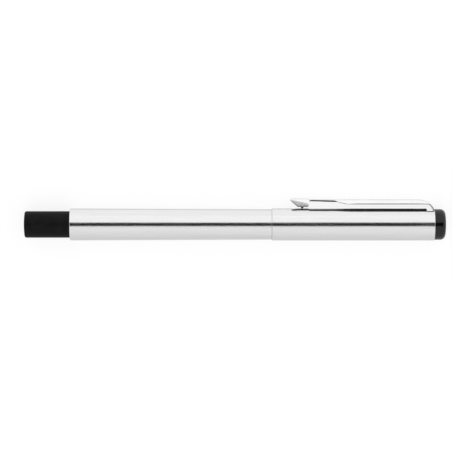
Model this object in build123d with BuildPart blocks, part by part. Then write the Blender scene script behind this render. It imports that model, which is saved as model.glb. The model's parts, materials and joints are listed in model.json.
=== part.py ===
"""A capped rollerball pen: steel barrel and cap, black ends, pocket clip and a replaceable refill.

The pen lies along X with its tail at -X and the cap's end at +X.  It has rolled over until its clip
touches the surface it lies on, as a capped pen does, with the clip towards +Y.  The origin is on that
surface, under the middle of the whole pen.  Sizes are in millimetres.
"""

from build123d import *
from math import acos, atan2, cos, degrees, hypot, sin, sqrt
import os

# Overall stations along X and outside radii
LENGTH = 130.0
TAIL_LENGTH = 14.2
CAP_LENGTH = 50.1
FINIAL_LENGTH = 3.4
CAP_R = 4.95
BARREL_REAR_R = 4.93
BARREL_FRONT_R = 4.68
TAIL_R = 4.1
FINIAL_R = 4.75

# Fits and walls
RUNNING_GAP = 0.05
SEAT_GAP = 0.1
CAP_WALL = 0.35
BARREL_BORE_R = 4.3
REFILL_R = 3.0
REFILL_BORE_R = 3.1

# Section and barrel threads
COLLAR_THICKNESS = 0.5
THREAD_PITCH = 1.25
THREAD_TURNS = 3.6
THREAD_ROOT_R = 3.5
THREAD_HEIGHT = 0.28
THREAD_BASE_WIDTH = 0.7
THREAD_CREST_WIDTH = 0.3
THREAD_AXIAL_GAP = 0.08

# Refill
REFILL_LENGTH = 111.0
BALL_R = 0.35
BALL_GAP = 0.01
TIP_R = 1.15
WICK_R = 0.6
SPRING_TURNS = 6
SPRING_MEAN_R = 2.3
SPRING_WIRE_R = 0.2

# Clip
CLIP_TOP = 7.7
CLIP_HEAD_TOP = 8.0
CLIP_LENGTH = 44.4
CLIP_WIDTH = 5.0
CLIP_NECK_WIDTH = 3.3
CLIP_TIP_WIDTH = 3.0
CLIP_THICKNESS = 1.45
CLIP_NECK_THICKNESS = 0.7
CLIP_SHEET = 0.6
CLIP_WALL = 0.6
BEND_R = 5.2
NOTCH_LENGTH = 2.45
NOTCH_WIDTH = 6.2

# Stations worked out from the sizes above
TAIL_END = -LENGTH / 2
CAP_END = LENGTH / 2
BARREL_REAR = TAIL_END + TAIL_LENGTH
CAP_TOP = CAP_END - FINIAL_LENGTH
CAP_MOUTH = CAP_TOP - CAP_LENGTH
BARREL_FRONT = CAP_MOUTH - RUNNING_GAP
COLLAR_FRONT = BARREL_FRONT + COLLAR_THICKNESS
CAP_BORE_R = CAP_R - CAP_WALL
REFILL_REAR = -57.4
REFILL_TIP = REFILL_REAR + REFILL_LENGTH
SPIGOT_END = BARREL_REAR + 6.1
TAIL_FLOOR = TAIL_END + 1.8
NOSE_REAR = 41.0
NOSE_FRONT = 51.2
CLIP_TIP = CAP_TOP - CLIP_LENGTH
CLIP_HINGE = 56.0

# How the pen lies.  ROLL is the angle from straight up to the clip, at which the lower of the clip's two
# outer corners is as far below the pen's axis as the cap's wall is
CORNER_R = hypot(CLIP_TOP, CLIP_WIDTH / 2)
CORNER_ANGLE = atan2(CLIP_WIDTH / 2, CLIP_TOP)
ROLL = acos(-CAP_R / CORNER_R) - CORNER_ANGLE
CLIP_REACH = CORNER_R * sin(ROLL - CORNER_ANGLE)
AXIS_Y = (CAP_R - CLIP_REACH) / 2
AXIS_Z = CAP_R

# Planes through the pen's axis: SIDE holds the clip's side view and all half-profiles, TOP faces the clip
PEN_CENTRE = (0, AXIS_Y, AXIS_Z)
SIDE = Plane(origin=PEN_CENTRE, x_dir=(1, 0, 0), z_dir=(0, -cos(ROLL), sin(ROLL)))
TOP = Plane(origin=PEN_CENTRE, x_dir=(1, 0, 0), z_dir=(0, sin(ROLL), cos(ROLL)))
CROSS = Plane(origin=PEN_CENTRE, z_dir=(1, 0, 0))
PEN_AXIS = Axis(PEN_CENTRE, (1, 0, 0))


def band(start, end, outer, inner=0.0, mode=Mode.ADD):
    """A straight stretch of a half-profile, between two stations and two radii."""
    with Locations((start, inner)):
        Rectangle(end - start, outer - inner, align=(Align.MIN, Align.MIN), mode=mode)


def cone(start, end, start_r, end_r, mode=Mode.ADD):
    """A tapered stretch of a half-profile, from the pen's axis out to a slanted line."""
    outline = [(start, 0), (end, 0), (end, end_r), (start, start_r)]
    Polygon(*outline, align=None, mode=mode)


def rings(part, station):
    """The part's circular edges at one station along the pen, smallest first."""
    on_axis = part.edges().filter_by(GeomType.CIRCLE)
    return on_axis.filter_by_position(Axis.X, station - 0.01, station + 0.01).sort_by(SortBy.RADIUS)


def thread_ridge(first_turn, turns, gap, mode):
    """Sweep the thread's tooth along its helix; a gap widens it into the mating groove."""
    flank = (THREAD_BASE_WIDTH - THREAD_CREST_WIDTH) / 2 / THREAD_HEIGHT
    foot = 0.1
    crest_height = THREAD_HEIGHT + gap
    foot_half = THREAD_BASE_WIDTH / 2 + flank * foot + gap
    crest_half = THREAD_BASE_WIDTH / 2 - flank * crest_height + gap
    with BuildLine() as helix:
        Helix(
            pitch=THREAD_PITCH,
            height=turns * THREAD_PITCH,
            radius=THREAD_ROOT_R,
            center=(first_turn, AXIS_Y, AXIS_Z),
            direction=(1, 0, 0),
        )
    with BuildSketch(Plane(origin=helix.line @ 0, x_dir=(1, 0, 0), z_dir=helix.line % 0)) as tooth:
        with BuildLine():
            Polyline(
                (-foot_half, -foot),
                (foot_half, -foot),
                (crest_half, crest_height),
                (-crest_half, crest_height),
                close=True,
            )
        make_face()
    sweep(sections=tooth.sketch, path=helix.line, is_frenet=True, mode=mode)


os.makedirs("parts", exist_ok=True)

# ---------------------------------------------------------------- barrel

# Tail plug: a hollow black plug whose spigot is pressed into the barrel tube
with BuildPart() as tail_plug:
    with BuildSketch(SIDE):
        with BuildLine():
            dome = TangentArc((TAIL_END, 0), (TAIL_END + 0.3, TAIL_R), tangent=(0, 1))
            Polyline(dome @ 1, (BARREL_REAR, TAIL_R), (BARREL_REAR, 0), (TAIL_END, 0))
        make_face()
        band(BARREL_REAR, SPIGOT_END, BARREL_BORE_R)
        band(TAIL_FLOOR, SPIGOT_END, REFILL_R + 0.25, mode=Mode.SUBTRACT)
    revolve(axis=PEN_AXIS)
    fillet(rings(tail_plug, TAIL_END + 0.3)[-1], radius=0.6)
    chamfer(rings(tail_plug, SPIGOT_END)[-1], length=0.3)

# Barrel tube: drawn steel, a little slimmer towards the cap
with BuildPart() as barrel_tube:
    with BuildSketch(SIDE):
        with BuildLine():
            Polyline(
                (BARREL_REAR, BARREL_BORE_R),
                (BARREL_REAR, BARREL_REAR_R),
                (BARREL_FRONT, BARREL_FRONT_R),
                (BARREL_FRONT, BARREL_BORE_R),
                close=True,
            )
        make_face()
    revolve(axis=PEN_AXIS)
    fillet(rings(barrel_tube, BARREL_REAR)[-1], radius=0.25)
    fillet(rings(barrel_tube, BARREL_FRONT)[-1], radius=0.08)

# Brass insert pressed into the barrel's mouth.  Its female thread is cut through a longer blank,
# which is then faced off, so that the thread runs out of the mouth
INSERT_FRONT = BARREL_FRONT - SEAT_GAP
INSERT_REAR = INSERT_FRONT - 9.0
THREAD_START = INSERT_FRONT - 5.85
BLANK_EXTRA = 3.0
with BuildPart() as barrel_thread_insert:
    with BuildSketch(SIDE):
        band(INSERT_REAR, INSERT_FRONT + BLANK_EXTRA, BARREL_BORE_R, THREAD_ROOT_R + RUNNING_GAP)
        band(INSERT_REAR, THREAD_START - THREAD_PITCH, BARREL_BORE_R - 0.35, mode=Mode.SUBTRACT)
    revolve(axis=PEN_AXIS)
    thread_ridge(THREAD_START - THREAD_PITCH, 7, THREAD_AXIAL_GAP, Mode.SUBTRACT)
    with BuildSketch(CROSS.offset(INSERT_FRONT)):
        Circle(BARREL_REAR_R)
    extrude(amount=BLANK_EXTRA, mode=Mode.SUBTRACT)

# Spring seat: a small moulded button on the tail's floor
SEAT_FRONT = TAIL_FLOOR + 0.6
with BuildPart() as spring_seat:
    with BuildSketch(SIDE):
        band(TAIL_FLOOR + RUNNING_GAP, SEAT_FRONT, REFILL_BORE_R)
        band(SEAT_FRONT, SEAT_FRONT + 1.2, SPRING_MEAN_R - SPRING_WIRE_R - SEAT_GAP)
    revolve(axis=PEN_AXIS)
    chamfer(rings(spring_seat, SEAT_FRONT + 1.2), length=0.3)

# Refill spring between the seat and the refill's rear end
SPRING_START = SEAT_FRONT + SPRING_WIRE_R + RUNNING_GAP
SPRING_END = REFILL_REAR - SPRING_WIRE_R - RUNNING_GAP
with BuildPart() as refill_spring:
    with BuildLine() as coil:
        Helix(
            pitch=(SPRING_END - SPRING_START) / SPRING_TURNS,
            height=SPRING_END - SPRING_START,
            radius=SPRING_MEAN_R,
            center=(SPRING_START, AXIS_Y, AXIS_Z),
            direction=(1, 0, 0),
        )
    with BuildSketch(Plane(origin=coil.line @ 0, z_dir=coil.line % 0)):
        Circle(SPRING_WIRE_R)
    sweep(path=coil.line, is_frenet=True)

# ---------------------------------------------------------------- section

# Threaded brass sleeve, pressed into the back of the grip section
SLEEVE_REAR = 2.0
SLEEVE_FRONT = 16.0
with BuildPart() as section_thread_sleeve:
    with BuildSketch(SIDE):
        band(SLEEVE_REAR, SLEEVE_FRONT, THREAD_ROOT_R, REFILL_BORE_R)
    revolve(axis=PEN_AXIS)
    chamfer(rings(section_thread_sleeve, SLEEVE_REAR)[-1], length=0.2)
    thread_ridge(THREAD_START, THREAD_TURNS, 0, Mode.ADD)

# Grip section: black plastic, with the collar that the barrel butts against just inside the cap's mouth,
# a low bead that holds the cap, a waisted grip with rings, and a socket for the nose
LINER_BORE_R = 4.25
SNAP_BEAD = COLLAR_FRONT + 4
SNAP_BEAD_HEIGHT = 0.07
SNAP_ZONE_END = 18.0
GRIP_R = LINER_BORE_R - SEAT_GAP
GRIP_FRONT_R = 3.55
SHOULDER = 39.3
NECK_R = 2.0
NOSE_SOCKET_R = 2.9
GRIP_RINGS = 5
FIRST_RING = 30.0
RING_PITCH = 1.8
with BuildPart() as grip_section:
    with BuildSketch(SIDE):
        with BuildLine():
            waist = TangentArc((SNAP_ZONE_END, GRIP_R), (NOSE_REAR, GRIP_FRONT_R), tangent=(1, 0))
            Polyline(waist @ 1, (NOSE_REAR, 0), (SNAP_ZONE_END, 0), waist @ 0)
        make_face()
        band(COLLAR_FRONT, SNAP_ZONE_END, GRIP_R)
        band(BARREL_FRONT, COLLAR_FRONT, CAP_BORE_R - SEAT_GAP)
        band(NOSE_REAR, NOSE_REAR + 4, NOSE_SOCKET_R)
        band(BARREL_FRONT, SLEEVE_FRONT, THREAD_ROOT_R, mode=Mode.SUBTRACT)
        band(SLEEVE_FRONT, SHOULDER, REFILL_BORE_R, mode=Mode.SUBTRACT)
        band(SHOULDER, NOSE_REAR + 4, NECK_R + SEAT_GAP, mode=Mode.SUBTRACT)
        for ring in range(GRIP_RINGS):
            back = RING_PITCH * ring
            with Locations((FIRST_RING + back, GRIP_R - 0.03 - 0.025 * back)):
                Circle(0.3, mode=Mode.SUBTRACT)
    revolve(axis=PEN_AXIS)
    with BuildSketch(SIDE):
        with Locations((SNAP_BEAD, GRIP_R)):
            Ellipse(0.8, SNAP_BEAD_HEIGHT)
    revolve(axis=PEN_AXIS)

# Nose cone: turned steel, screwed onto the front of the section
NOSE_FRONT_R = 1.75
NOSE_SOCKET_END = NOSE_REAR + 4.1
TAPER_START = 47.2
TAPER_END = 49.0
with BuildPart() as nose_cone:
    with BuildSketch(SIDE):
        with BuildLine():
            flank = ThreePointArc(
                (NOSE_REAR, GRIP_FRONT_R),
                ((NOSE_REAR + NOSE_FRONT) / 2, (GRIP_FRONT_R + NOSE_FRONT_R) / 2 + 0.25),
                (NOSE_FRONT, NOSE_FRONT_R),
            )
            Polyline(flank @ 1, (NOSE_FRONT, 0), (NOSE_REAR, 0), flank @ 0)
        make_face()
        band(NOSE_REAR, NOSE_SOCKET_END, NOSE_SOCKET_R, mode=Mode.SUBTRACT)
        band(NOSE_SOCKET_END, TAPER_START, NECK_R + SEAT_GAP, mode=Mode.SUBTRACT)
        cone(TAPER_START, TAPER_END, NECK_R + SEAT_GAP, TIP_R + SEAT_GAP, mode=Mode.SUBTRACT)
        band(TAPER_END, NOSE_FRONT, TIP_R + SEAT_GAP, mode=Mode.SUBTRACT)
    revolve(axis=PEN_AXIS)
    fillet(rings(nose_cone, NOSE_FRONT)[-1], radius=0.2)

# ---------------------------------------------------------------- refill

REFILL_WALL = 0.3
TUBE_BORE_R = REFILL_R - REFILL_WALL
TUBE_REAR = REFILL_REAR + 0.8
TUBE_FRONT = 38.0
HOLDER_REAR = 33.0
NECK_FRONT = 46.5
SHANK_REAR = 45.0
CONE_REAR = 51.6
BALL_CENTRE = REFILL_TIP - BALL_R

with BuildPart() as refill_tube:
    with BuildSketch(SIDE):
        band(TUBE_REAR, TUBE_FRONT, REFILL_R, TUBE_BORE_R)
    revolve(axis=PEN_AXIS)

# Rear plug with its vent hole
with BuildPart() as refill_end_plug:
    with BuildSketch(SIDE):
        band(REFILL_REAR, TUBE_REAR, REFILL_R)
        band(TUBE_REAR, TUBE_REAR + 2.6, TUBE_BORE_R)
        band(REFILL_REAR, TUBE_REAR + 2.6, 0.4, mode=Mode.SUBTRACT)
    revolve(axis=PEN_AXIS)
    chamfer(rings(refill_end_plug, REFILL_REAR)[-1], length=0.25)

# Fibre reservoir that holds the ink, hollow at its front end for the wick
WICK_REAR = 27.0
with BuildPart() as ink_reservoir:
    with BuildSketch(SIDE):
        band(TUBE_REAR + 3.6, HOLDER_REAR - SEAT_GAP, TUBE_BORE_R - RUNNING_GAP)
        band(WICK_REAR, HOLDER_REAR, WICK_R + RUNNING_GAP, mode=Mode.SUBTRACT)
    revolve(axis=PEN_AXIS)

# Tip holder: the moulded front of the refill
with BuildPart() as tip_holder:
    with BuildSketch(SIDE):
        band(HOLDER_REAR, TUBE_FRONT, TUBE_BORE_R)
        band(TUBE_FRONT, SHOULDER - RUNNING_GAP, REFILL_R)
        band(SHOULDER - RUNNING_GAP, NECK_FRONT, NECK_R)
        cone(NECK_FRONT, NECK_FRONT + 1.0, NECK_R, TIP_R + 0.35)
        band(HOLDER_REAR, SHANK_REAR, WICK_R + RUNNING_GAP, mode=Mode.SUBTRACT)
        band(SHANK_REAR, NECK_FRONT + 1.0, TIP_R, mode=Mode.SUBTRACT)
    revolve(axis=PEN_AXIS)

# Capillary wick that feeds the tip
with BuildPart() as feed_wick:
    with BuildSketch(SIDE):
        band(WICK_REAR + RUNNING_GAP, CONE_REAR - 1.0, WICK_R)
    revolve(axis=PEN_AXIS)

# Writing tip: a turned steel cone whose rim holds the ball
RIM_PAST_CENTRE = 0.1
SOCKET_R = BALL_R + BALL_GAP
RIM_R = sqrt(SOCKET_R**2 - RIM_PAST_CENTRE**2)
TIP_RIM = BALL_CENTRE + RIM_PAST_CENTRE
with BuildPart() as writing_tip:
    with BuildSketch(SIDE):
        band(SHANK_REAR, CONE_REAR, TIP_R)
        cone(CONE_REAR, TIP_RIM, TIP_R, RIM_R + 0.08)
        band(SHANK_REAR, CONE_REAR - 0.9, WICK_R + RUNNING_GAP, mode=Mode.SUBTRACT)
        band(SHANK_REAR, BALL_CENTRE, 0.2, mode=Mode.SUBTRACT)
        with Locations((BALL_CENTRE, 0)):
            Circle(SOCKET_R, mode=Mode.SUBTRACT)
    revolve(axis=PEN_AXIS)

with BuildPart() as writing_ball:
    with Locations((BALL_CENTRE, AXIS_Y, AXIS_Z)):
        Sphere(BALL_R)

# ---------------------------------------------------------------- cap

# Cap tube, with a wide notch at its top for the clip's foot
NOTCH_START = CAP_TOP - NOTCH_LENGTH
with BuildPart() as cap_tube:
    with BuildSketch(SIDE):
        band(CAP_MOUTH, CAP_TOP, CAP_R, CAP_BORE_R)
    revolve(axis=PEN_AXIS)
    fillet(rings(cap_tube, CAP_MOUTH)[-1], radius=0.1)
    fillet(rings(cap_tube, CAP_TOP)[-1], radius=0.15)
    with BuildSketch(TOP):
        with Locations((NOTCH_START, 0)):
            Rectangle(4, NOTCH_WIDTH, align=(Align.MIN, Align.CENTER))
    extrude(amount=CAP_R + 1, mode=Mode.SUBTRACT)

# Inner cap: the plastic liner that grips the section and shuts off the tip
RING_THICKNESS = 0.5
STUD_R = 1.5
LINER_MOUTH = CAP_MOUTH + 1.3
LINER_TOP = CAP_TOP - RING_THICKNESS - RUNNING_GAP
LINER_R = CAP_BORE_R - RUNNING_GAP
LINER_RECESS_R = 4.15
CHAMBER_R = 2.9
CHAMBER_CONE = 42.0
CHAMBER_START = 47.0
CHAMBER_END = REFILL_TIP + 1.4
with BuildPart() as inner_cap:
    with BuildSketch(SIDE):
        band(LINER_MOUTH, LINER_TOP, LINER_R)
        band(NOTCH_START, LINER_TOP, LINER_R, LINER_RECESS_R, mode=Mode.SUBTRACT)
        band(LINER_MOUTH, CHAMBER_CONE, LINER_BORE_R, mode=Mode.SUBTRACT)
        cone(CHAMBER_CONE, CHAMBER_START, LINER_BORE_R, CHAMBER_R, mode=Mode.SUBTRACT)
        band(CHAMBER_START, CHAMBER_END, CHAMBER_R, mode=Mode.SUBTRACT)
        band(CHAMBER_END + 1.2, LINER_TOP, STUD_R + RUNNING_GAP, mode=Mode.SUBTRACT)
    revolve(axis=PEN_AXIS)
    chamfer(rings(inner_cap, LINER_MOUTH)[0], length=0.15)

# Threaded stud moulded into the finial
HEAD_R = 2.3
HEAD_REAR = CAP_TOP + 0.8
STUD_END = CAP_TOP + 2.0
STUD_START = CHAMBER_END + 1.4
with BuildPart() as finial_stud:
    with BuildSketch(SIDE):
        band(STUD_START, HEAD_REAR, STUD_R)
        band(HEAD_REAR, STUD_END, HEAD_R)
    revolve(axis=PEN_AXIS)
    chamfer(rings(finial_stud, STUD_START), length=0.3)

with BuildPart() as finial:
    with BuildSketch(SIDE):
        band(CAP_TOP, CAP_END, FINIAL_R)
        band(CAP_TOP, HEAD_REAR, STUD_R, mode=Mode.SUBTRACT)
        band(HEAD_REAR, STUD_END, HEAD_R, mode=Mode.SUBTRACT)
    revolve(axis=PEN_AXIS)
    fillet(rings(finial, CAP_END)[-1], radius=1.6)

# ---------------------------------------------------------------- clip

# Clip root: the ring under the finial, the foot through the notch and the bend, where the strip's deep
# sides run out and leave only its sheet
FOOT_TOP = 4.75
FOOT_BOTTOM = 4.2
BEND_START = CAP_TOP - 4.85
BEND_INNER_R = BEND_R - CLIP_SHEET
BEND_CENTRE = CLIP_TOP - BEND_R
CLIP_UNDERSIDE = CLIP_TOP - CLIP_THICKNESS


def along_bend(radius, height):
    """The station at which an arc about the bend's centre has come down to a height."""
    return BEND_START + sqrt(radius**2 - (height - BEND_CENTRE) ** 2)


with BuildPart() as clip_root:
    with BuildSketch(SIDE):
        band(CAP_TOP - RING_THICKNESS, CAP_TOP, CAP_BORE_R - RUNNING_GAP, STUD_R + RUNNING_GAP)
    revolve(axis=PEN_AXIS)
    with BuildSketch(SIDE):
        with BuildLine():
            outer_bend = TangentArc(
                (BEND_START, CLIP_TOP), (along_bend(BEND_R, FOOT_TOP), FOOT_TOP), tangent=(1, 0)
            )
            inner_bend = RadiusArc(
                (along_bend(BEND_INNER_R, FOOT_BOTTOM), FOOT_BOTTOM),
                (along_bend(BEND_INNER_R, CLIP_UNDERSIDE), CLIP_UNDERSIDE),
                -BEND_INNER_R,
            )
            Polyline(
                outer_bend @ 1,
                (CAP_TOP, CAP_BORE_R - RUNNING_GAP),
                (CAP_TOP, FOOT_BOTTOM),
                inner_bend @ 0,
            )
            Polyline(
                inner_bend @ 1,
                (CLIP_HINGE, CLIP_UNDERSIDE),
                (CLIP_HINGE, CLIP_TOP),
                outer_bend @ 0,
            )
        make_face()
    extrude(amount=CLIP_WIDTH / 2, both=True)

# Clip arm: a pressed strip with a rounded tip, a wedge-shaped head whose pad meets the cap, a thin neck
# behind the head and a channel under its wide part
PAD_FRONT = CLIP_TIP + 2.3
PAD_REAR = CLIP_TIP + 5.4
PAD_BOTTOM = 5.4
HEAD_END = PAD_REAR + 0.5
CLIP_NECK_END = CLIP_TIP + 13.9
STRIP_START = CLIP_TIP + 18.2
ARM_END = CLIP_HINGE - RUNNING_GAP
CHANNEL_LENGTH = ARM_END - 1 - STRIP_START
with BuildPart() as clip_arm:
    with BuildSketch(SIDE):
        with BuildLine():
            Polyline(
                (ARM_END, CLIP_TOP),
                (HEAD_END, CLIP_TOP),
                (PAD_REAR, CLIP_HEAD_TOP),
                (CLIP_TIP, CLIP_HEAD_TOP),
                (CLIP_TIP, CLIP_HEAD_TOP - CLIP_SHEET),
                (PAD_FRONT, PAD_BOTTOM),
                (PAD_REAR, PAD_BOTTOM),
                (HEAD_END, CLIP_TOP - CLIP_NECK_THICKNESS),
                (CLIP_NECK_END, CLIP_TOP - CLIP_NECK_THICKNESS),
                (STRIP_START, CLIP_UNDERSIDE),
                (ARM_END, CLIP_UNDERSIDE),
                close=True,
            )
        make_face()
    extrude(amount=CLIP_WIDTH, both=True)
    with BuildSketch(TOP):
        with BuildLine():
            tip = ThreePointArc(
                (CLIP_TIP + 1.5, -CLIP_TIP_WIDTH / 2),
                (CLIP_TIP, 0),
                (CLIP_TIP + 1.5, CLIP_TIP_WIDTH / 2),
            )
            Polyline(
                tip @ 1,
                (CLIP_NECK_END, CLIP_NECK_WIDTH / 2),
                (STRIP_START, CLIP_WIDTH / 2),
                (ARM_END, CLIP_WIDTH / 2),
                (ARM_END, -CLIP_WIDTH / 2),
                (STRIP_START, -CLIP_WIDTH / 2),
                (CLIP_NECK_END, -CLIP_NECK_WIDTH / 2),
                tip @ 0,
            )
        make_face()
    extrude(amount=CLIP_TOP + 1, mode=Mode.INTERSECT)
    with BuildSketch(TOP.offset(CLIP_TOP - CLIP_SHEET)):
        with Locations((STRIP_START, 0)):
            Rectangle(CHANNEL_LENGTH, CLIP_WIDTH - 2 * CLIP_WALL, align=(Align.MIN, Align.CENTER))
    extrude(amount=-CLIP_THICKNESS, mode=Mode.SUBTRACT)
    with BuildSketch(TOP):
        with Locations(((PAD_FRONT + PAD_REAR) / 2, 0)):
            Circle(0.5)
    extrude(amount=PAD_BOTTOM + 0.2)
    with BuildSketch(CROSS.offset(CLIP_TIP - 1)):
        Circle(CAP_R + RUNNING_GAP)
    extrude(amount=CLIP_LENGTH + 2, mode=Mode.SUBTRACT)

nodes = {
    "tail_plug": tail_plug,
    "barrel_tube": barrel_tube,
    "barrel_thread_insert": barrel_thread_insert,
    "spring_seat": spring_seat,
    "refill_spring": refill_spring,
    "section_thread_sleeve": section_thread_sleeve,
    "grip_section": grip_section,
    "nose_cone": nose_cone,
    "refill_tube": refill_tube,
    "refill_end_plug": refill_end_plug,
    "ink_reservoir": ink_reservoir,
    "tip_holder": tip_holder,
    "feed_wick": feed_wick,
    "writing_tip": writing_tip,
    "writing_ball": writing_ball,
    "cap_tube": cap_tube,
    "inner_cap": inner_cap,
    "finial_stud": finial_stud,
    "finial": finial,
    "clip_root": clip_root,
    "clip_arm": clip_arm,
}
for name, piece in nodes.items():
    piece.part.label = name
    export_step(piece.part, f"parts/{name}.step")

print(f"clip {degrees(ROLL):.3f} degrees from up, pen axis at y {AXIS_Y:.4f}, z {AXIS_Z:.4f}")
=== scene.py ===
"""Looks of a capped rollerball pen: brushed steel barrel and cap, black ends and a pressed steel clip.

Everything is in metres.  The pieces are shaped in the pen's own frame, with X along the pen's axis to the
cap's end and Z towards the clip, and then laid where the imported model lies: on the floor at z = 0, rolled
over until its clip touches the floor.
"""

import json
from math import acos, asin, cos, pi, radians, sin

import bmesh
import bpy
from mathutils import Matrix, Vector


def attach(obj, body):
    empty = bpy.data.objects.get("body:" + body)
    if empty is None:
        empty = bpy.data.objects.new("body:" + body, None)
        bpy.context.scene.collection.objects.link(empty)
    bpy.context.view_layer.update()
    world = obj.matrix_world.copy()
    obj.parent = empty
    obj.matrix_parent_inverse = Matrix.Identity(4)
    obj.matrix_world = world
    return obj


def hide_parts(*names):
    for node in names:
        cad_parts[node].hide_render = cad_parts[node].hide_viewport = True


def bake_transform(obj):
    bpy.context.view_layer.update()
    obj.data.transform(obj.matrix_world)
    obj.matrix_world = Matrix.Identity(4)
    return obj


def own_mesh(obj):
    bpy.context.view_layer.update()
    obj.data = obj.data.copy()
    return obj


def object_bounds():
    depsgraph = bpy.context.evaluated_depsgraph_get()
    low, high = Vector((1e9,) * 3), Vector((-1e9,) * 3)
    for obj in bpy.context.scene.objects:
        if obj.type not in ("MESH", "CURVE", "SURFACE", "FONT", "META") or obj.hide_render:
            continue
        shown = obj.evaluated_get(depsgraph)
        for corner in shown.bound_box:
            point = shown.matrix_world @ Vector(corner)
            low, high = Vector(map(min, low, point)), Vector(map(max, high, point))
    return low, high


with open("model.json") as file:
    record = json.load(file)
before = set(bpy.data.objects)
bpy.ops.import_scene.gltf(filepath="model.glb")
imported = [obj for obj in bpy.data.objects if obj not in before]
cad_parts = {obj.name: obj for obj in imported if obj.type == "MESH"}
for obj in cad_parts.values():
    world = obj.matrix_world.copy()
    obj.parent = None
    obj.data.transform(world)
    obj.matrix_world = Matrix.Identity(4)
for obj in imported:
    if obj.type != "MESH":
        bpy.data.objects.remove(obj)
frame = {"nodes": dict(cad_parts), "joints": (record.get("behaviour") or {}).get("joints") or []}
cad_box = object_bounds()

# A millimetre, a distance that counts as none, and how finely turned shapes and rounded edges are made.
MM = 0.001
TINY = 1e-9
SEGMENTS = 192
FILLET_STEPS = 6
SHARP_ANGLE = radians(32)

# The pen's own frame, read from its joints.
JOINTS = {joint["name"]: joint for joint in frame["joints"]}
ALONG = Vector(JOINTS["cap_turn"]["axis"])
ACROSS = Vector(JOINTS["clip_flex"]["axis"])
TO_CLIP = ALONG.cross(ACROSS)
_, AXIS_Y, AXIS_Z = JOINTS["cap_turn"]["pos_m"]
TURN = Matrix((ALONG, ACROSS, TO_CLIP)).transposed()
LAID = Matrix.Translation((0, AXIS_Y, AXIS_Z)) @ TURN.to_4x4()


# ---------------------------------------------------------------- mesh helpers


def pen_box(node):
    """A CAD node's lowest and highest corner, in the pen's own frame."""
    to_pen = LAID.inverted()
    points = [to_pen @ vertex.co for vertex in frame["nodes"][node].data.vertices]
    low = Vector(min(point[i] for point in points) for i in range(3))
    high = Vector(max(point[i] for point in points) for i in range(3))
    return low, high


def radius_of(node):
    """The largest radius of a turned CAD node."""
    return pen_box(node)[1].y


def rounded(corners):
    """An outline of (station, radius) points from corners of (station, radius, fillet radius)."""
    outline = []
    for place, (x, r, fillet) in enumerate(corners):
        if fillet == 0:
            outline.append((x, r))
            continue
        corner = Vector((x, r))
        before = Vector(corners[place - 1][:2]) - corner
        after = Vector(corners[(place + 1) % len(corners)][:2]) - corner
        half = before.angle(after) / 2
        reach = fillet / (sin(half) / cos(half))
        centre = corner + (before.normalized() + after.normalized()).normalized() * fillet / sin(half)
        first = corner + before.normalized() * reach - centre
        last = corner + after.normalized() * reach - centre
        for step in range(FILLET_STEPS + 1):
            swing = first.slerp(last, step / FILLET_STEPS).normalized()
            outline.append(tuple(centre + swing * fillet))
    return outline


def new_object(name, vertices, faces, place=LAID):
    """A mesh object laid in its place, with smooth shading that stays sharp at its real edges."""
    mesh = bpy.data.meshes.new(name)
    mesh.from_pydata(vertices, [], faces)
    mesh.validate()
    shell = bmesh.new()
    shell.from_mesh(mesh)
    bmesh.ops.recalc_face_normals(shell, faces=shell.faces)
    shell.to_mesh(mesh)
    shell.free()
    mesh.transform(place)
    mesh.shade_smooth()
    mesh.set_sharp_from_angle(angle=SHARP_ANGLE)
    piece = bpy.data.objects.new(name, mesh)
    bpy.context.scene.collection.objects.link(piece)
    return piece


def dress(piece, body, slot, material, *nodes):
    """Ride a finished piece on its body, and let it stand for the CAD nodes of the same part."""
    piece.data.materials.append(material)
    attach(piece, body)
    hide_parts(*nodes)


def add_ring(vertices, points):
    """Append a ring of points to a list of vertices, and return their numbers."""
    first = len(vertices)
    vertices += points
    return range(first, len(vertices))


def quad(ring, following, step):
    """The face between two neighbouring rings of vertex numbers, from one step to the next."""
    beside = (step + 1) % len(ring)
    return [ring[step], following[step], following[beside], ring[beside]]


def lathe(name, outline, notch=None):
    """Turn a closed outline about the pen's axis.

    A notch of (first station, half angle) leaves the wall open under the clip, from that station on.  The
    faces there are made a little narrower or wider, so that the notch is as wide as asked to 0.05 mm.
    """
    sector = 2 * pi / SEGMENTS
    angles = [sector * step for step in range(SEGMENTS)]
    open_sectors = set()
    cut_points = []
    if notch:
        first_x, half_angle = notch
        open_steps = round(half_angle / sector)
        reach = open_steps * sector
        stretch = half_angle / reach
        angles = [a * stretch if a <= reach else a for a in angles]
        angles = [2 * pi - (2 * pi - a) * stretch if 2 * pi - a <= reach else a for a in angles]
        open_sectors = {step % SEGMENTS for step in range(-open_steps, open_steps)}
        cut_points = [place for place, (x, _) in enumerate(outline) if x >= first_x - TINY]
    vertices = []
    rings = []
    for x, r in outline:
        if r < TINY:
            rings.append([len(vertices)] * SEGMENTS)
            vertices.append((x, 0, 0))
        else:
            rings.append(add_ring(vertices, [(x, r * sin(a), r * cos(a)) for a in angles]))
    faces = []
    for place, ring in enumerate(rings):
        following = (place + 1) % len(rings)
        inside_cut = place in cut_points and following in cut_points
        for step in range(SEGMENTS):
            if inside_cut and step in open_sectors:
                continue
            face = list(dict.fromkeys(quad(ring, rings[following], step)))
            if len(face) > 2:
                faces.append(face)
    if notch:
        outer, inner = rings[cut_points[0]], rings[cut_points[-1]]
        faces += [quad(inner, outer, step) for step in open_sectors]
        faces.append([rings[place][open_steps] for place in cut_points][::-1])
        faces.append([rings[place][SEGMENTS - open_steps] for place in cut_points])
    return new_object(name, vertices, faces)


# ---------------------------------------------------------------- material helpers

# The noise texture's own roughness, and the range that nearly all of its values fall in.
NOISE_ROUGHNESS = 0.55
NOISE_LOW = 0.3
NOISE_HIGH = 0.7


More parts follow.
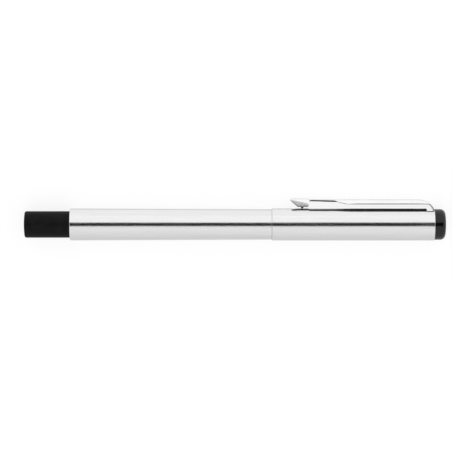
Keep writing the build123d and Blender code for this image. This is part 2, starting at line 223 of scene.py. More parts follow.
class Finish:
    """A material in the making: even values on the shader's sockets, with detail linked on top."""

    def __init__(self, name, colour, roughness, metallic=0.0, **sockets):
        self.material = bpy.data.materials.new(name)
        self.material.use_nodes = True
        self.nodes = self.material.node_tree.nodes
        self.links = self.material.node_tree.links
        self.shader = self.nodes["Principled BSDF"]
        self.colour = colour
        self.roughness = roughness
        self.shader.inputs["Base Color"].default_value = (*colour, 1)
        self.shader.inputs["Metallic"].default_value = metallic
        self.shader.inputs["Roughness"].default_value = roughness
        for socket, value in sockets.items():
            self.shader.inputs[socket.replace("_", " ")].default_value = value
        self.place = self.nodes.new("ShaderNodeTexCoord").outputs["Object"]

    def noise(self, scale, detail):
        """Noise stretched by a scale for each axis, in features per metre."""
        mapping = self.nodes.new("ShaderNodeMapping")
        mapping.inputs["Scale"].default_value = scale
        texture = self.nodes.new("ShaderNodeTexNoise")
        texture.inputs["Scale"].default_value = 1.0
        texture.inputs["Detail"].default_value = detail
        texture.inputs["Roughness"].default_value = NOISE_ROUGHNESS
        self.links.new(self.place, mapping.inputs["Vector"])
        self.links.new(mapping.outputs["Vector"], texture.inputs["Vector"])
        return texture.outputs["Fac"]

    def ranged(self, value, low, high):
        """Stretch a noise value over a range of its own."""
        node = self.nodes.new("ShaderNodeMapRange")
        node.inputs["From Min"].default_value = NOISE_LOW
        node.inputs["From Max"].default_value = NOISE_HIGH
        node.inputs["To Min"].default_value = low
        node.inputs["To Max"].default_value = high
        self.links.new(value, node.inputs["Value"])
        return node.outputs["Result"]

    def product(self, first, second):
        """Multiply two varying values."""
        node = self.nodes.new("ShaderNodeMath")
        node.operation = "MULTIPLY"
        self.links.new(first, node.inputs[0])
        self.links.new(second, node.inputs[1])
        return node.outputs["Value"]

    def shade(self, value):
        """Multiply the colour by a value that varies about 1."""
        scaled = self.nodes.new("ShaderNodeVectorMath")
        scaled.operation = "SCALE"
        scaled.inputs[0].default_value = self.colour
        self.links.new(value, scaled.inputs["Scale"])
        self.links.new(scaled.outputs["Vector"], self.shader.inputs["Base Color"])

    def rough(self, value):
        """Multiply the roughness by a value that varies about 1."""
        node = self.nodes.new("ShaderNodeMath")
        node.operation = "MULTIPLY"
        node.inputs[1].default_value = self.roughness
        self.links.new(value, node.inputs[0])
        self.links.new(node.outputs["Value"], self.shader.inputs["Roughness"])

    def bump(self, value, depth, strength):
        """Raise the surface by a value, as deep as a depth in metres."""
        node = self.nodes.new("ShaderNodeBump")
        node.inputs["Strength"].default_value = strength
        node.inputs["Distance"].default_value = depth
        self.links.new(value, node.inputs["Height"])
        self.links.new(node.outputs["Normal"], self.shader.inputs["Normal"])


# ---------------------------------------------------------------- materials


def brushed_steel():
    """Stainless tube brushed along its length, in fine long streaks."""
    steel = Finish("brushed_steel", (0.83, 0.83, 0.835), metallic=1.0, roughness=0.17)
    fine = steel.noise((160, 9000, 9000), detail=4)
    broad = steel.noise((45, 1600, 1600), detail=2)
    steel.shade(steel.product(steel.ranged(fine, 0.955, 1.03), steel.ranged(broad, 0.975, 1.02)))
    steel.rough(steel.product(steel.ranged(fine, 0.75, 1.3), steel.ranged(broad, 0.85, 1.15)))
    steel.bump(fine, 0.0016 * MM, 0.5)
    return steel.material


def clip_steel():
    """Pressed spring steel, polished, with faint lengthwise polishing marks."""
    steel = Finish("clip_steel", (0.9, 0.9, 0.905), metallic=1.0, roughness=0.11)
    fine = steel.noise((220, 7000, 2500), detail=4)
    cloud = steel.noise((300, 500, 500), detail=2)
    steel.shade(steel.ranged(cloud, 0.97, 1.02))
    steel.rough(steel.product(steel.ranged(fine, 0.7, 1.35), steel.ranged(cloud, 0.85, 1.2)))
    steel.bump(fine, 0.001 * MM, 0.5)
    return steel.material


def turned_steel():
    """Bright turned steel, with fine rings round the axis left by the tool."""
    steel = Finish("turned_steel", (0.72, 0.72, 0.73), metallic=1.0, roughness=0.14)
    rings = steel.noise((14000, 30, 30), detail=2)
    cloud = steel.noise((900, 900, 900), detail=3)
    steel.shade(steel.ranged(cloud, 0.93, 1.04))
    steel.rough(steel.product(steel.ranged(rings, 0.75, 1.3), steel.ranged(cloud, 0.8, 1.25)))
    steel.bump(rings, 0.002 * MM, 0.6)
    return steel.material


def black_plastic():
    """Satin black plastic with a very fine moulded grain."""
    plastic = Finish("black_plastic", (0.0075, 0.0075, 0.0082), roughness=0.42, Specular_IOR_Level=0.06)
    grain = plastic.noise((9000, 9000, 9000), detail=3)
    cloud = plastic.noise((350, 350, 350), detail=2)
    plastic.shade(plastic.ranged(cloud, 0.75, 1.3))
    plastic.rough(plastic.product(plastic.ranged(grain, 0.85, 1.2), plastic.ranged(cloud, 0.9, 1.15)))
    plastic.bump(grain, 0.006 * MM, 0.35)
    return plastic.material


def gloss_black():
    """Polished black plastic of the cap's end piece."""
    plastic = Finish("gloss_black", (0.0018, 0.0018, 0.002), roughness=0.16, Specular_IOR_Level=0.42)
    grain = plastic.noise((6000, 6000, 6000), detail=3)
    cloud = plastic.noise((420, 420, 420), detail=2)
    plastic.shade(plastic.ranged(cloud, 0.75, 1.3))
    plastic.rough(plastic.product(plastic.ranged(grain, 0.85, 1.2), plastic.ranged(cloud, 0.85, 1.2)))
    plastic.bump(grain, 0.002 * MM, 0.35)
    return plastic.material


def clip_satin_shade():
    """The satin finish of the clip's rounded upper edges and of its head's sides, in a darker colour that
    is painted shade on them.
    """
    steel = Finish("clip_satin_shade", (0.62, 0.62, 0.625), metallic=1.0, roughness=0.3)
    fine = steel.noise((900, 6000, 2500), detail=4)
    steel.shade(steel.ranged(fine, 0.8, 1.12))
    steel.rough(steel.ranged(fine, 0.8, 1.2))
    steel.bump(fine, 0.003 * MM, 0.5)
    return steel.material


def clip_underside_shade():
    """The unpolished underside of the pressed clip, with a nearly black colour that is painted shade under
    the clip.
    """
    scale = Finish("clip_underside_shade", (0.05, 0.05, 0.052), metallic=0.6, roughness=0.42)
    cloud = scale.noise((1400, 1400, 1400), detail=4)
    scale.shade(scale.ranged(cloud, 0.7, 1.3))
    scale.rough(scale.ranged(cloud, 0.85, 1.2))
    scale.bump(cloud, 0.006 * MM, 0.5)
    return scale.material


def liner_plastic():
    """Dark grey moulded plastic inside the cap and the tail."""
    plastic = Finish("liner_plastic", (0.045, 0.045, 0.048), roughness=0.45)
    grain = plastic.noise((5000, 5000, 5000), detail=3)
    plastic.shade(plastic.ranged(grain, 0.85, 1.15))
    plastic.rough(plastic.ranged(grain, 0.85, 1.15))
    plastic.bump(grain, 0.006 * MM, 0.4)
    return plastic.material


def thread_brass():
    """Machined brass, a little dulled, with turning marks."""
    brass = Finish("thread_brass", (0.78, 0.56, 0.25), metallic=1.0, roughness=0.26)
    rings = brass.noise((11000, 40, 40), detail=2)
    tarnish = brass.noise((700, 700, 700), detail=4)
    brass.shade(brass.ranged(tarnish, 0.78, 1.08))
    brass.rough(brass.product(brass.ranged(rings, 0.8, 1.2), brass.ranged(tarnish, 1.25, 0.8)))
    brass.bump(rings, 0.003 * MM, 0.6)
    return brass.material


def refill_white():
    """Glossy white plastic of the refill's tube, with faint flow lines."""
    plastic = Finish("refill_white", (0.78, 0.78, 0.75), roughness=0.24, Subsurface_Weight=0.05)
    flow = plastic.noise((60, 1500, 1500), detail=3)
    plastic.shade(plastic.ranged(flow, 0.95, 1.03))
    plastic.rough(plastic.ranged(flow, 0.8, 1.25))
    plastic.bump(flow, 0.004 * MM, 0.3)
    return plastic.material


def refill_black():
    """Glossy black plastic of the refill's moulded ends."""
    plastic = Finish("refill_black", (0.012, 0.012, 0.014), roughness=0.2)
    cloud = plastic.noise((1200, 1200, 1200), detail=3)
    plastic.shade(plastic.ranged(cloud, 0.8, 1.25))
    plastic.rough(plastic.ranged(cloud, 0.75, 1.3))
    plastic.bump(cloud, 0.004 * MM, 0.3)
    return plastic.material


def ink_fibre():
    """Bonded fibres along the refill, soaked with dark ink."""
    fibre = Finish("ink_fibre", (0.02, 0.022, 0.05), roughness=0.7)
    strands = fibre.noise((250, 14000, 14000), detail=5)
    fibre.shade(fibre.ranged(strands, 0.5, 1.6))
    fibre.rough(fibre.ranged(strands, 0.8, 1.2))
    fibre.bump(strands, 0.03 * MM, 0.7)
    return fibre.material


def spring_wire():
    """Drawn spring wire."""
    wire = Finish("spring_wire", (0.6, 0.6, 0.61), metallic=1.0, roughness=0.22)
    drawn = wire.noise((3500, 3500, 3500), detail=4)
    wire.shade(wire.ranged(drawn, 0.85, 1.08))
    wire.rough(wire.ranged(drawn, 0.7, 1.3))
    wire.bump(drawn, 0.002 * MM, 0.4)
    return wire.material


def carbide():
    """Polished tungsten carbide of the writing ball."""
    ball = Finish("carbide", (0.4, 0.4, 0.42), metallic=1.0, roughness=0.1)
    speckle = ball.noise((16000, 16000, 16000), detail=3)
    ball.shade(ball.ranged(speckle, 0.85, 1.1))
    ball.rough(ball.ranged(speckle, 0.7, 1.4))
    ball.bump(speckle, 0.001 * MM, 0.3)
    return ball.material


STEEL = brushed_steel()
CLIP_STEEL = clip_steel()
TURNED = turned_steel()
CLIP_SATIN_SHADE = clip_satin_shade()
CLIP_UNDERSIDE_SHADE = clip_underside_shade()
BLACK = black_plastic()
GLOSS_BLACK = gloss_black()
LINER = liner_plastic()
BRASS = thread_brass()
REFILL_WHITE = refill_white()
REFILL_BLACK = refill_black()
FIBRE = ink_fibre()
WIRE = spring_wire()
CARBIDE = carbide()


# ---------------------------------------------------------------- barrel


def make_barrel_tube():
    """The barrel's tube, slimmer towards the cap, with a rolled edge at its tail end."""
    low, high = pen_box("barrel_tube")
    taper = 0.25 * MM
    rear_r = radius_of("barrel_tube")
    front_r = rear_r - taper
    bore_r = radius_of("barrel_thread_insert")
    outline = rounded([
        (low.x, bore_r, 0.05 * MM),
        (low.x, rear_r, 0.25 * MM),
        (high.x, front_r, 0.06 * MM),
        (high.x, bore_r, 0.05 * MM),
    ])
    dress(lathe("barrel_shell", outline), "barrel", "tube_steel", STEEL, "barrel_tube")


def make_tail():
    """The tail plug: a domed black end on a spigot, hollow for the refill's spring."""
    low, high = pen_box("tail_plug")
    shoulder = pen_box("barrel_tube")[0].x
    spigot_r = radius_of("tail_plug")
    tail_r = 4.1 * MM
    bore_r = radius_of("refill_tube") + 0.25 * MM
    floor = pen_box("spring_seat")[0].x - 0.05 * MM
    dome = 0.3 * MM
    dome_r = (tail_r**2 + dome**2) / (2 * dome)
    dome_steps = 5
    rim_angle = asin((tail_r - 0.6 * MM) / dome_r)
    crown = []
    for step in range(dome_steps + 1):
        angle = rim_angle * step / dome_steps
        crown.append((low.x + dome_r * (1 - cos(angle)), dome_r * sin(angle)))
    body = rounded([
        (*crown[-1], 0),
        (low.x + dome, tail_r, 0.55 * MM),
        (shoulder, tail_r, 0),
        (shoulder, spigot_r, 0),
        (high.x, spigot_r, 0.25 * MM),
        (high.x, bore_r, 0.1 * MM),
        (floor, bore_r, 0.1 * MM),
        (floor, 0, 0),
    ])
    dress(lathe("tail_end", crown[:-1] + body), "barrel", "black_plastic", BLACK, "tail_plug")


def make_spring():
    """The refill's spring, copied as it is from the CAD coil and carried on the spring's body."""
    wire = frame["nodes"]["refill_spring"].data.copy()
    wire.materials.clear()
    coil = bpy.data.objects.new("spring_coil", wire)
    bpy.context.scene.collection.objects.link(coil)
    dress(coil, "barrel_spring", "spring_steel", WIRE, "refill_spring")
    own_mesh(coil)


# ---------------------------------------------------------------- section


def make_grip():
    """The grip: a black waist that narrows to the nose, with a collar, a snap bead and shallow grooves."""
    low, high = pen_box("grip_section")
    nose_x = pen_box("nose_cone")[0].x
    collar_r = radius_of("grip_section")
    collar_front = low.x + 0.5 * MM
    grip_r = 4.15 * MM
    waist_start = 18.0 * MM
    front_r = radius_of("nose_cone")
    spigot_r = 2.9 * MM
    bore_r = radius_of("refill_tube") + 0.1 * MM
    sleeve_r = 3.5 * MM
    sleeve_front = pen_box("section_thread_sleeve")[1].x
    shoulder = pen_box("tip_holder")[1].x - 8.2 * MM
    neck_r = 2.1 * MM
    fall = grip_r - front_r
    run = nose_x - waist_start
    waist_r = (run**2 + fall**2) / (2 * fall)

    def grip_at(x):
        """The grip's radius at a station along its waist."""
        return grip_r - waist_r + (waist_r**2 - (x - waist_start) ** 2) ** 0.5

    bead = collar_front + 4 * MM
    bead_half = 0.8 * MM
    bead_rise = 0.07 * MM
    bead_steps = 5
    snap = []
    for step in range(-bead_steps, bead_steps + 1):
        share = step / bead_steps
        snap.append((bead + bead_half * share, grip_r + bead_rise * cos(pi / 2 * share)))

    first_groove = 30.0 * MM
    groove_pitch = 1.8 * MM
    groove_half = 0.32 * MM
    groove_depth = 0.24 * MM
    groove_flatness = 0.7
    groove_steps = 6
    groove_count = 5
    plain_end = first_groove - 0.6 * MM
    waist_steps = 12
    waist = []
    for step in range(waist_steps + 1):
        x = waist_start + (plain_end - waist_start) * step / waist_steps
        waist.append((x, grip_at(x)))
    for groove in range(groove_count):
        centre = first_groove + groove_pitch * groove
        for step in range(-groove_steps, groove_steps + 1):
            share = step / groove_steps
            x = centre + groove_half * share
            waist.append((x, grip_at(x) - groove_depth * cos(pi / 2 * share) ** groove_flatness))
    bevel_x = nose_x - 0.08 * MM
    waist.append((bevel_x, grip_at(bevel_x)))
    waist.append((nose_x, grip_at(nose_x) - 0.06 * MM))

    rear = rounded([
        (low.x, sleeve_r, 0),
        (low.x, collar_r, 0.05 * MM),
        (collar_front, collar_r, 0.05 * MM),
        (collar_front, grip_r, 0),
    ])
    front = [
        (nose_x, spigot_r),
        (high.x, spigot_r),
        (high.x, neck_r),
        (shoulder, neck_r),
        (shoulder, bore_r),
        (sleeve_front, bore_r),
        (sleeve_front, sleeve_r),
    ]
    piece = lathe("grip", rear + snap + waist + front)
    dress(piece, "section", "black_plastic", BLACK, "grip_section")


def make_nose():
    """The turned nose cone round the refill's tip."""
    low, high = pen_box("nose_cone")
    rear_r = radius_of("nose_cone")
    front_r = 1.75 * MM
    bulge = 0.25 * MM
    tip_bore_r = radius_of("writing_tip") + 0.1 * MM
    tip_bore_rear = high.x - 2.2 * MM
    neck_r = 2.1 * MM
    neck_front = high.x - 4.0 * MM
    socket_r = 2.9 * MM
    socket_front = low.x + 4.1 * MM
    steps = 16
    flank = []
    for step in range(steps):
        share = step / steps
        x = low.x + (high.x - low.x) * share
        flank.append((x, rear_r + (front_r - rear_r) * share + 4 * bulge * share * (1 - share)))
    lip = rounded([
        (*flank[-1], 0),
        (high.x, front_r, 0.2 * MM),
        (high.x, tip_bore_r, 0.06 * MM),
        (tip_bore_rear, tip_bore_r, 0),
    ])
    bore = [
        (neck_front, neck_r),
        (socket_front, neck_r),
        (socket_front, socket_r),
        (low.x, socket_r),
    ]
    piece = lathe("nose", flank[:-1] + lip + bore)
    dress(piece, "section", "turned_steel", TURNED, "nose_cone")


# ---------------------------------------------------------------- cap


def make_cap_tube():
    """The cap's tube, with a rounded mouth and a notch for the clip's foot."""
    low, high = pen_box("cap_tube")
    outer_r = radius_of("cap_tube")
    bore_r = radius_of("inner_cap") + 0.05 * MM
    notch_length = 2.45 * MM
    notch_half = 3.1 * MM
    notch_x = high.x - notch_length
    half_angle = asin(notch_half / outer_r)
    mouth = rounded([
        (low.x, bore_r, 0.06 * MM),
        (low.x, outer_r, 0.07 * MM),
        (notch_x, outer_r, 0),
        (notch_x, bore_r, 0),
    ])
    top = rounded([
        (notch_x, outer_r, 0),
        (high.x, outer_r, 0.15 * MM),
        (high.x, bore_r, 0.05 * MM),
        (notch_x, bore_r, 0),
    ])
    piece = lathe("cap_shell", mouth[:-2] + top, notch=(notch_x, half_angle))
    dress(piece, "cap", "tube_steel", STEEL, "cap_tube")


def make_finial():
    """The black end piece: a flat disc with a broad rounded edge."""
    low, high = pen_box("finial")
    outer_r = radius_of("finial")
    stud_r = 1.5 * MM
    head_r = radius_of("finial_stud")
    head_top = pen_box("finial_stud")[1].x
    head_bottom = head_top - 1.2 * MM
    outline = rounded([
        (low.x, stud_r, 0),
        (low.x, outer_r, 0.12 * MM),
        (high.x, outer_r, 1.6 * MM),
        (high.x, 0, 0),
        (head_top, 0, 0),
        (head_top, head_r, 0),
        (head_bottom, head_r, 0),
        (head_bottom, stud_r, 0),
    ])
    dress(lathe("cap_end_piece", outline), "cap", "black_plastic", GLOSS_BLACK, "finial")


# ---------------------------------------------------------------- clip

# The pressed strip's section.  LEAN is how far its flanks lean in, as a share of their height.
CLIP_SHEET = 0.6 * MM
CLIP_DEPTH = 1.5 * MM
CLIP_WALL = 0.6 * MM
CLIP_EDGE = 0.08 * MM
SHOULDER_R = 0.2 * MM
CROWN_DROP = 0.06 * MM
LEAN = 0.15
CURVE_STEPS = 5

# The clip's finishes, in the order of its materials, and the faces round a section that are satin, counted
# from its crown: its rounded upper edge and the keel's side.  The underside comes after the keel's side.
# The satin faces are rougher, and also painted a darker colour as painted shade.
# The unpolished underside is painted nearly black, as painted shade under the clip.
POLISHED, SATIN_SHADE, UNPOLISHED_SHADE = range(3)
SHOULDER_FACES = (6, 7, 8)
KEEL_FACE = 15

# The head: a wedge that deepens from the tip to its heel, with a keel narrower than the strip above it.
HEAD_RISE = 0.3 * MM
HEAD_DEPTH = 2.6 * MM
TIP_DEPTH = 0.6 * MM
TIP_ROUND = 1.5 * MM
WEDGE_LENGTH = 2.3 * MM
BELT_DEPTH = 0.45 * MM
BELT_SLOPE = 0.23
KEEL_NARROWING = 0.42
PAD_EDGE = 0.15 * MM

# The neck between head and strip, and the upright edges along the clip.
NECK_LENGTH = 13.9 * MM
NECK_WIDTH = 3.0 * MM
NECK_FLARE = 0.3 * MM
NECK_DEPTH = 0.58 * MM
NECK_GAIN = 0.2 * MM
HEAD_LIP = 0.04 * MM
NECK_LIP = 0.4 * MM
STRIP_LIP = 0.15 * MM
BEND_LIP = 0.17 * MM

# The bend and the foot, in the pen's frame.
BEND_R = 5.2 * MM
BEND_REACH = 4.85 * MM
FOOT_SHEET = 0.38 * MM
FOOT_END = 4.5 * MM
FOOT_DROP = 1.1 * MM

# Where the shape changes, as (start, stop) distances from the clip's tip.
CROWN_STEP = (5.2 * MM, 6.0 * MM)
HEEL = (5.4 * MM, 5.9 * MM)
NECK_DEEPENS = (6.0 * MM, 14.0 * MM)
STRIP_WIDENS = (12.9 * MM, 19.2 * MM)
STRIP_DEEPENS = (NECK_LENGTH, 18.2 * MM)
NECK_LIP_STARTS = (5.7 * MM, 6.1 * MM)
NECK_LIP_ENDS = (13.4 * MM, 15.0 * MM)
STRIP_LIP_STARTS = (17.0 * MM, 21.0 * MM)
CHANNEL_STARTS = (17.2 * MM, 19.2 * MM)


def eased(value, start, stop):
    """A smooth step from 0 at the start to 1 at the stop."""
    share = min(1, max(0, (value - start) / (stop - start)))
    return share * share * (3 - 2 * share)


class ClipShape:
    """The pressed strip's sizes at a distance from its tip."""

    def __init__(self):
        arm_low, arm_high = pen_box("clip_arm")
        root_high = pen_box("clip_root")[1]
        self.tip_x = arm_low.x
        self.nub_bottom = arm_low.z
        self.top = root_high.z
        self.full_width = 2 * arm_high.y
        self.bend_x = root_high.x - BEND_REACH
        self.bend_along = self.bend_x - self.tip_x

    def rise(self, along):
        """How far the head stands above the strip's crown."""
        return HEAD_RISE * (1 - eased(along, *CROWN_STEP))

    def width(self, along):
        """A rounded tip, a slim neck and a wider strip."""
        neck = NECK_WIDTH + NECK_FLARE * min(1, along / NECK_LENGTH)
        strip = eased(along, *STRIP_WIDENS)
        round_end = min(1, along / TIP_ROUND)
        return (neck + (self.full_width - neck) * strip) * (1 - (1 - round_end) ** 2) ** 0.5

    def depth(self, along):
        """A wedge-shaped head, a thin neck and a deeper strip."""
        slanted = TIP_DEPTH + (HEAD_DEPTH - TIP_DEPTH) * min(1, along / WEDGE_LENGTH)
        neck = NECK_DEPTH + NECK_GAIN * eased(along, *NECK_DEEPENS)
        strip = neck + (CLIP_DEPTH - neck) * eased(along, *STRIP_DEEPENS)
        return slanted + (strip - slanted) * eased(along, *HEEL)

    def belt(self, along):
        """The depth at which the strip is widest; the head goes on below it as a keel."""
        slanting = BELT_DEPTH + BELT_SLOPE * along
        return min(self.depth(along), slanting) if along < sum(HEEL) / 2 else self.depth(along)

    def lip(self, along):
        """The height of the upright edge under the leaning flank."""
        neck = eased(along, *NECK_LIP_STARTS) - eased(along, *NECK_LIP_ENDS)
        strip = eased(along, *STRIP_LIP_STARTS)
        return HEAD_LIP + NECK_LIP * neck + STRIP_LIP * strip

    def hollow(self, along):
        """The depth of the channel pressed into the underside, which closes 2 to 1 mm before the bend."""
        closed = eased(along, self.bend_along - 2 * MM, self.bend_along - MM)
        return (self.depth(along) - CLIP_SHEET) * (eased(along, *CHANNEL_STARTS) - closed)

    def sizes(self, along):
        """All five sizes at once, in the order that a section takes them."""
        return [size(along) for size in (self.width, self.depth, self.belt, self.lip, self.hollow)]


def clip_half_section(width, depth, belt, lip, hollow):
    """Half of the strip's section, as (across, down) points from its crown round to its underside.

    The flank leans in towards the top, above a short upright lip.  A keel narrows below the belt.  The
    shares of the width and the belt keep every edge small enough where the section is small.
    """
    half = width / 2
    upright = min(lip, belt * 0.6)
    top_half = max(half * 0.4, half - LEAN * (belt - upright))
    shoulder = min(SHOULDER_R, top_half * 0.5, belt * 0.3)
    crown = min(CROWN_DROP, belt * 0.1)
    edge = min(CLIP_EDGE, half * 0.2, belt * 0.1)
    keel_share = min(1, (depth - belt) / (HEAD_DEPTH - TIP_DEPTH))
    keel = (half - edge) * (1 - KEEL_NARROWING * keel_share)
    pad_edge = edge + (min(PAD_EDGE, keel * 0.3) - edge) * keel_share
    wall = min(CLIP_WALL, keel * 0.6)
    points = []
    for step in range(CURVE_STEPS):
        share = step / CURVE_STEPS
        points.append(((top_half - shoulder) * share, crown * share**2))
    for step in range(CURVE_STEPS + 1):
        angle = pi / 2 * step / CURVE_STEPS
        points.append((top_half - shoulder * (1 - sin(angle)), crown + shoulder * (1 - cos(angle))))
    points.append((half - LEAN * edge, belt - upright - edge))
    points.append((half, belt - upright))
    points.append((half, belt - edge * 0.5))
    points.append((half - edge * 0.5, belt))
    points.append((half - edge * 0.7, min(depth, belt + edge)))
    points.append((keel, max(belt, depth - pad_edge)))
    points.append((keel - edge, depth))
    points.append((keel - wall, depth))
    points.append((keel - wall, depth - hollow * 0.9))
    points.append((keel - wall - edge, depth - hollow))
    points.append((0, depth - hollow))
    return points


def clip_loop(middle, down, sizes):
    """The closed outline of the strip's section at one place."""
    half = clip_half_section(*sizes)
    right = [middle + down * drop + Vector((0, across, 0)) for across, drop in half]
    left = [middle + down * drop - Vector((0, across, 0)) for across, drop in half[1:-1]]
    return right + left[::-1]


def clip_loops(shape):
    """Section outlines from the clip's tip, along the strip, and round the bend to the end of its foot.

    The strip's sides run out level where the bend begins, and leave only its sheet for the foot.
    """
    down = Vector((0, 0, -1))
    head_end = 6.5 * MM
    head_steps = 70
    tip_offset = 0.15
    strip_steps = 110
    head = [head_end * (step + tip_offset) / head_steps for step in range(head_steps)]
    strip = [head_end + (shape.bend_along - head_end) * step / strip_steps for step in range(strip_steps)]
    loops = []
    for along in head + strip:
        crown = Vector((shape.tip_x + along, 0, shape.top + shape.rise(along)))
        loops.append(clip_loop(crown, down, shape.sizes(along)))
    centre = Vector((shape.bend_x, 0, shape.top - BEND_R))
    last_angle = acos((FOOT_END - centre.z) / BEND_R)
    bend_steps = 30
    for step in range(bend_steps + 1):
        angle = last_angle * step / bend_steps
        outward = Vector((sin(angle), 0, cos(angle)))
        level = (CLIP_DEPTH - BEND_R * (1 - cos(angle))) / cos(angle)
        depth = max(FOOT_SHEET, level)
        sizes = [shape.full_width, depth, depth, BEND_LIP, 0]
        loops.append(clip_loop(centre + outward * BEND_R, -outward, sizes))
    return loops


def clip_finish(place, count, on_foot):
    """The finish of a face round the section, the underside's nearly black one being painted shade; the
    foot is polished on its inner side too.
    """
    from_crown = min(place, count - place - 1)
    if from_crown > KEEL_FACE:
        return POLISHED if on_foot else UNPOLISHED_SHADE
    return SATIN_SHADE if from_crown in (*SHOULDER_FACES, KEEL_FACE) else POLISHED


def make_clip():
    """The clip: one pressed strip from its tip to its foot, with its nub and the ring that holds it."""
    shape = ClipShape()
    vertices = []
    rings = [add_ring(vertices, loop) for loop in clip_loops(shape)]
    count = len(rings[0])
    faces = []
    finishes = []
    for ring, following in zip(rings, rings[1:]):
        on_foot = vertices[ring[0]].z < shape.top - FOOT_DROP
        faces += [quad(ring, following, step) for step in range(count)]
        finishes += [clip_finish(step, count, on_foot) for step in range(count)]
    faces.append(list(rings[0]))
    faces.append(list(rings[-1]))
    finishes += [POLISHED, POLISHED]
    nub = nub_faces(vertices, shape)
    foot_ring = foot_ring_faces(vertices)
    faces += nub + foot_ring
    # The nub takes the underside's nearly black colour, which is painted shade.
    finishes += [UNPOLISHED_SHADE] * len(nub) + [POLISHED] * len(foot_ring)
    piece = new_object("clip", vertices, faces)
    for material in (CLIP_STEEL, CLIP_SATIN_SHADE, CLIP_UNDERSIDE_SHADE):
        piece.data.materials.append(material)
    for face, finish in zip(piece.data.polygons, finishes):
        face.material_index = finish
    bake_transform(piece)
    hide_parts("clip_root", "clip_arm")


def nub_faces(vertices, shape):
    """Faces of the round contact nub under the head, added to a list of vertices."""
    centre_x = shape.tip_x + 3.65 * MM
    pad = shape.top + HEAD_RISE - HEAD_DEPTH
    nub_r = 0.42 * MM
    rim = pad - 0.12 * MM
    profile = [
        (nub_r + 0.1 * MM, pad + 0.05 * MM),
        (nub_r + 0.02 * MM, pad - 0.02 * MM),
        (nub_r, rim),
    ]
    dome_steps = 7
    for step in range(1, dome_steps):
        angle = pi / 2 * step / dome_steps
        profile.append((nub_r * cos(angle), rim - (rim - shape.nub_bottom) * sin(angle)))
    around = 32
    angles = [2 * pi * step / around for step in range(around)]
    rings = []
    for r, z in profile:
        rings.append(add_ring(vertices, [Vector((centre_x + r * cos(a), r * sin(a), z)) for a in angles]))
    faces = [quad(ring, lower, step) for ring, lower in zip(rings, rings[1:]) for step in range(around)]
    return faces + [list(rings[-1]), list(rings[0])]


def foot_ring_faces(vertices):
    """Faces of the flat ring that is clamped under the end piece, added to a list of vertices."""
    outer_r = radius_of("clip_root")
    hole_r = radius_of("finial_stud") - 0.75 * MM
    front = pen_box("finial")[0].x
    back = front - 0.5 * MM
    around = 96
    angles = [2 * pi * step / around for step in range(around)]
    rings = []
    for x, r in [(back, hole_r), (back, outer_r), (front, outer_r), (front, hole_r)]:
        rings.append(add_ring(vertices, [Vector((x, r * sin(a), r * cos(a))) for a in angles]))
    neighbours = zip(rings, rings[1:] + rings[:1])
    return [quad(ring, following, step) for ring, following in neighbours for step in range(around)]


make_barrel_tube()
make_tail()
make_spring()
make_grip()
make_nose()
make_cap_tube()
make_finial()
make_clip()

# ---------------------------------------------------------------- CAD nodes that stay

KEPT = {
    "barrel_thread_insert": BRASS,
    "section_thread_sleeve": BRASS,
    "spring_seat": LINER,
    "inner_cap": LINER,
    "finial_stud": TURNED,
    "refill_tube": REFILL_WHITE,
    "refill_end_plug": REFILL_BLACK,
    "tip_holder": REFILL_BLACK,
    "ink_reservoir": FIBRE,
    "feed_wick": FIBRE,
    "writing_tip": TURNED,
    "writing_ball": CARBIDE,
}
for node, material in KEPT.items():
    mesh = frame["nodes"][node].data
    mesh.materials.clear()
    mesh.materials.append(material)

# ---------------------------------------------------------------- floor, light and camera

# The floor lies a hair below the clip that rests on z = 0, and the card of painted floor shade as much
# above it.
HAIR = 0.02 * MM


def make_floor():
    """A plain white light table."""
    half = 4.0
    corners = [(-half, -half), (half, -half), (half, half), (-half, half)]
    floor = new_object("floor", [(x, y, -HAIR) for x, y in corners], [(0, 1, 2, 3)], place=Matrix())
    paint = Finish(
        "floor_paint",
        (0.22, 0.22, 0.22),
        roughness=0.9,
        Specular_IOR_Level=0.0,
        Emission_Color=(1, 1, 1, 1),
        Emission_Strength=0.81,
    )
    floor.data.materials.append(paint.material)


def reflected_card(name, corners, faces, shade, place=LAID):
    """A card beside the set that shows only in reflections."""
    card = new_object(name, corners, faces, place)
    paper = Finish(
        name + "_paper",
        (0.0, 0.0, 0.0),
        roughness=1.0,
        Specular_IOR_Level=0.0,
        Emission_Color=(shade, shade, shade, 1),
        Emission_Strength=1.0,
    )
    card.data.materials.append(paper.material)
    card.visible_camera = False
    card.visible_diffuse = False
    card.visible_shadow = False


def make_cards():
    """A dark arch behind the camera, in the pen's plane, and a grey card on the floor under the pen, whose
    grey is painted shade of the floor seen in the pen's reflections.
    """
    arch_r = 3.0
    half_height = arch_r * 0.235
    half_span = radians(55)
    steps = 40
    rim = []
    for step in range(steps + 1):
        angle = half_span * (2 * step / steps - 1)
        rim.append((arch_r * sin(angle), -arch_r * cos(angle)))
    corners = [(x, y, -half_height) for x, y in rim] + [(x, y, half_height) for x, y in rim]
    faces = [(s, s + 1, steps + 2 + s, steps + 1 + s) for s in range(steps)]
    reflected_card("dark_arch", corners, faces, shade=0.005)

    # The grey card's colour is painted shade of the floor under the pen, and shows only in reflections.
    low, high = cad_box
    left = low.x - 250 * MM
    right = high.x + 250 * MM
    near = low.y - 300 * MM
    far = high.y - MM
    corners = [(left, near, HAIR), (right, near, HAIR), (right, far, HAIR), (left, far, HAIR)]
    reflected_card("floor_shade_card", corners, [(0, 1, 2, 3)], shade=0.72, place=Matrix())


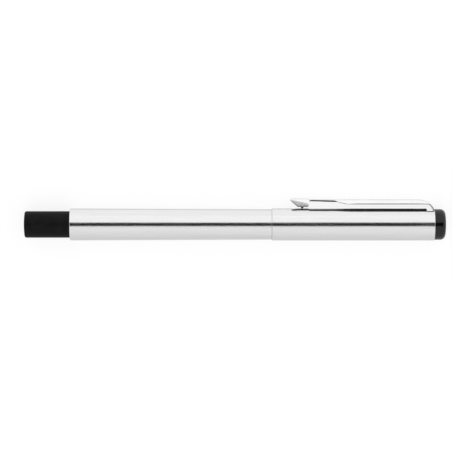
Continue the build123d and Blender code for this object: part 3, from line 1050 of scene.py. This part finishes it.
def make_light():
    """A soft surround: bright on the clip's side, and dimming towards the floor on the other."""
    world = bpy.data.worlds.new("studio")
    world.use_nodes = True
    nodes = world.node_tree.nodes
    links = world.node_tree.links
    direction = nodes.new("ShaderNodeTexCoord").outputs["Generated"]

    def along(axis):
        """How far a direction points along an axis, from -1 to 1."""
        dot = nodes.new("ShaderNodeVectorMath")
        dot.operation = "DOT_PRODUCT"
        dot.inputs[1].default_value = axis
        links.new(direction, dot.inputs[0])
        return dot.outputs["Value"]

    def stretched(value, start, stop, low, high):
        """Map a value's range onto another, with smooth ends."""
        node = nodes.new("ShaderNodeMapRange")
        node.interpolation_type = "SMOOTHSTEP"
        for socket, number in zip(("From Min", "From Max", "To Min", "To Max"), (start, stop, low, high)):
            node.inputs[socket].default_value = number
        links.new(value, node.inputs["Value"])
        return node.outputs["Result"]

    clip_side_level = 1.06
    dim_side = stretched(along(-ACROSS), -1.0, 1.0, 0.68, 0.9)
    bright_share = stretched(along(TO_CLIP), -0.15, 0.15, 0.0, 1.0)
    level = nodes.new("ShaderNodeMix")
    level.data_type = "FLOAT"
    share, dim, bright = level.inputs[0], level.inputs[2], level.inputs[3]
    links.new(bright_share, share)
    links.new(dim_side, dim)
    bright.default_value = clip_side_level
    nodes["Background"].inputs["Color"].default_value = (1, 1, 1, 1)
    links.new(level.outputs[0], nodes["Background"].inputs["Strength"])
    bpy.context.scene.world = world


def make_camera():
    """A long lens square on to the pen, with the clip at the top of the picture.

    The picture's width, and its shifts along the pen and towards the clip, are shares of the pen's length.
    """
    picture_width = 1.0732
    shift_along = -0.0205
    shift_to_clip = -0.0037
    lens = bpy.data.cameras.new("camera")
    lens.lens = 200
    lens.sensor_width = 36
    lens.clip_start = 0.01
    lens.clip_end = 20
    low, high = cad_box
    length = high.x - low.x
    distance = picture_width * length * lens.lens / lens.sensor_width
    camera = bpy.data.objects.new("camera", lens)
    place = Matrix.Translation((shift_along * length, -distance, shift_to_clip * length))
    camera.matrix_world = LAID @ place @ Matrix.Rotation(pi / 2, 4, "X")
    bpy.context.scene.collection.objects.link(camera)
    bpy.context.scene.camera = camera


bpy.context.scene.view_settings.view_transform = "Standard"
make_floor()
make_cards()
make_light()
make_camera()
